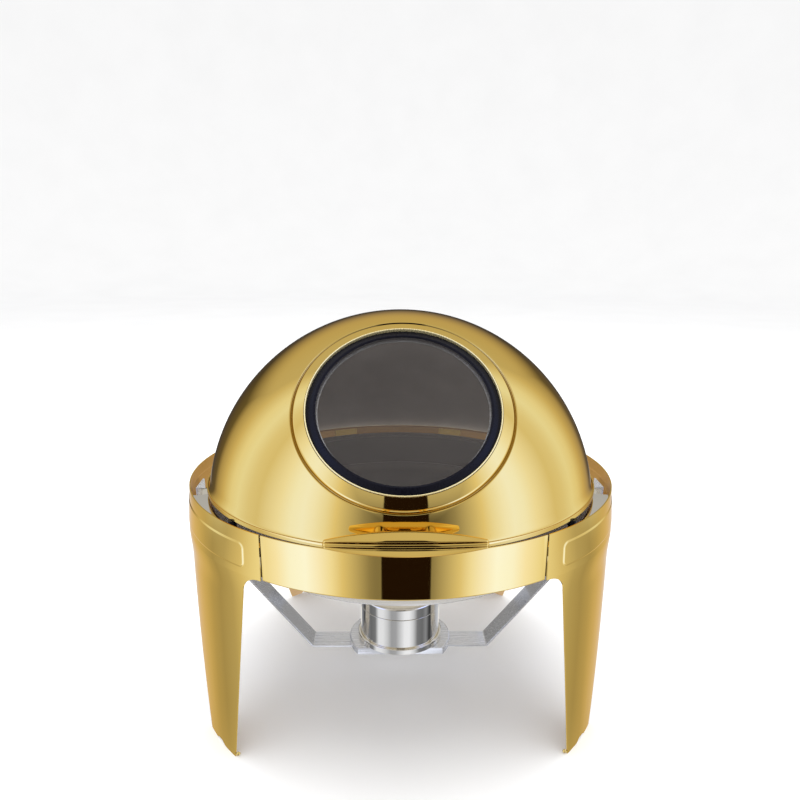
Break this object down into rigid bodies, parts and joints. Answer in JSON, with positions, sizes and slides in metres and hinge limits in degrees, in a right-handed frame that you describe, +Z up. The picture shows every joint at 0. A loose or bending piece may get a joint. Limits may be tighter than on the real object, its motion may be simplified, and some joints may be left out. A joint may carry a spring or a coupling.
{
  "type": "roll-top chafing dish",
  "caption": "Round roll-top food warmer: ring frame on sheet legs, domed lid with a round window, water and food pans, and a fuel holder on a strap underneath.",
  "frame": {"origin": "middle of the whole dish, handle included, on the surface that the feet stand on; the ring's own axis is 9 mm behind it", "axes": "+Z up; -Y is the front, where the handle is; X runs along the lid's roll axis"},
  "size_m": [0.4616, 0.468, 0.4225],
  "materials": {
    "gold_plate": "mirror-polished stainless steel with a pale gold plating",
    "stainless": "bright stainless steel sheet",
    "polished_steel": "mirror-polished stainless steel",
    "smoked_glass": "clear tempered glass with a smoked tint",
    "black_gasket": "smooth black silicone rubber",
    "nylon": "natural nylon",
    "can_metal": "plain tinned can"
  },
  "bodies": {
    "frame": {"front_band": "gold_plate", "rear_band": "gold_plate", "leg_panel_left": "gold_plate", "leg_panel_right": "gold_plate", "seam_plates": "gold_plate", "hinge_cap_nut_left": "gold_plate", "hinge_cap_nut_right": "gold_plate", "pan_shelf": "stainless", "water_pan": "stainless", "burner_strap": "stainless", "burner_platform": "stainless", "hinge_bolt_left": "stainless", "hinge_bolt_right": "stainless", "hinge_hub_left": "polished_steel", "hinge_hub_right": "polished_steel", "lid_bumpers": "black_gasket", "friction_washer_left": "nylon", "friction_washer_right": "nylon"},
    "lid": {"lid_shell": "gold_plate", "lid_rim": "gold_plate", "window_glass": "smoked_glass", "window_gasket": "black_gasket", "window_trim": "gold_plate", "window_retainer": "stainless", "handle_bar": "gold_plate", "handle_posts": "gold_plate", "handle_screws": "stainless", "lid_ear_left": "stainless", "lid_ear_right": "stainless"},
    "food_pan": {"food_pan": "stainless"},
    "fuel_holder": {"fuel_holder_body": "polished_steel", "fuel_holder_base_ring": "polished_steel", "fuel_can": "can_metal"},
    "holder_cover": {"fuel_holder_cover": "polished_steel"}
  },
  "joints": [
    {"name": "lid_roll", "type": "hinge", "parent": "frame", "child": "lid", "pos_m": [0, 0.009, 0.215], "axis": [-1, 0, 0], "range_deg": [0, 90]},
    {"name": "food_pan_lift", "type": "slide", "parent": "frame", "child": "food_pan", "axis": [0, 0, 1], "range_m": [0, 0.035]},
    {"name": "fuel_holder_lift", "type": "slide", "parent": "frame", "child": "fuel_holder", "axis": [0, 0, 1], "range_m": [0, 0.03]},
    {"name": "cover_lift", "type": "slide", "parent": "fuel_holder", "child": "holder_cover", "axis": [0, 0, 1], "range_m": [0, 0.02]}
  ]
}
